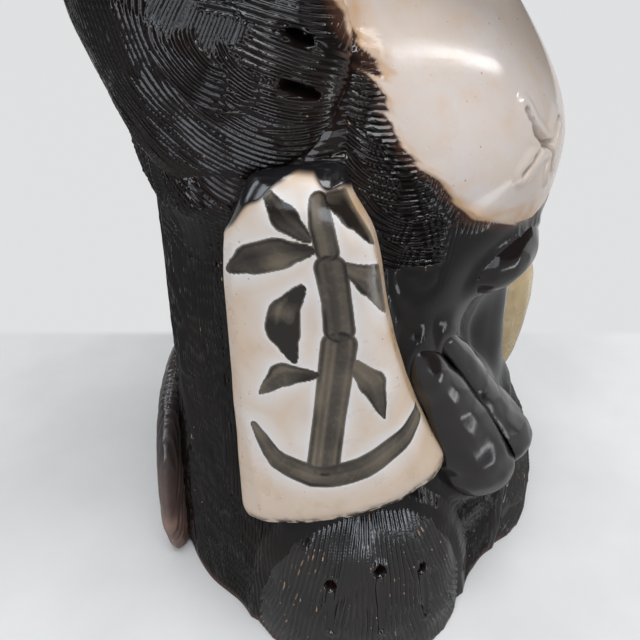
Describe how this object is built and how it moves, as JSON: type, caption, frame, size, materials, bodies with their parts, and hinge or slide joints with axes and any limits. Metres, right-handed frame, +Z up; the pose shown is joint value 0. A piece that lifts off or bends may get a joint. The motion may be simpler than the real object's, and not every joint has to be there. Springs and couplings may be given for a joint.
{
  "type": "garden statue",
  "caption": "Glazed stoneware garden figure of a standing raccoon dog with a tilted rain hat, a round belly, an account book and a sake flask; hollow, open below.",
  "frame": {"origin": "middle of the overall box, on the floor that the figure stands on", "axes": "+Z up; the figure faces -Y, its right hand is towards -X"},
  "size_m": [0.2408, 0.2292, 0.4398],
  "materials": {
    "fur_glaze": "gloss",
    "dark_glaze": "gloss",
    "slip": "satin",
    "flask_glaze": "satin",
    "hat_glaze": "satin",
    "white_glaze": "gloss"
  },
  "bodies": {
    "root": {"body_front_shell": "fur_glaze", "body_back_shell": "fur_glaze", "head_front_shell": "fur_glaze", "head_back_shell": "fur_glaze", "hat": "hat_glaze", "right_ear": "fur_glaze", "left_ear": "fur_glaze", "right_eye": "white_glaze", "left_eye": "white_glaze", "nose": "dark_glaze", "right_arm": "fur_glaze", "left_arm": "fur_glaze", "account_book": "slip", "sake_flask": "flask_glaze", "right_foot": "dark_glaze", "left_foot": "dark_glaze", "tail": "fur_glaze", "money_bag_right": "dark_glaze", "money_bag_left": "dark_glaze", "belly_knob": "dark_glaze"}
  },
  "joints": []
}
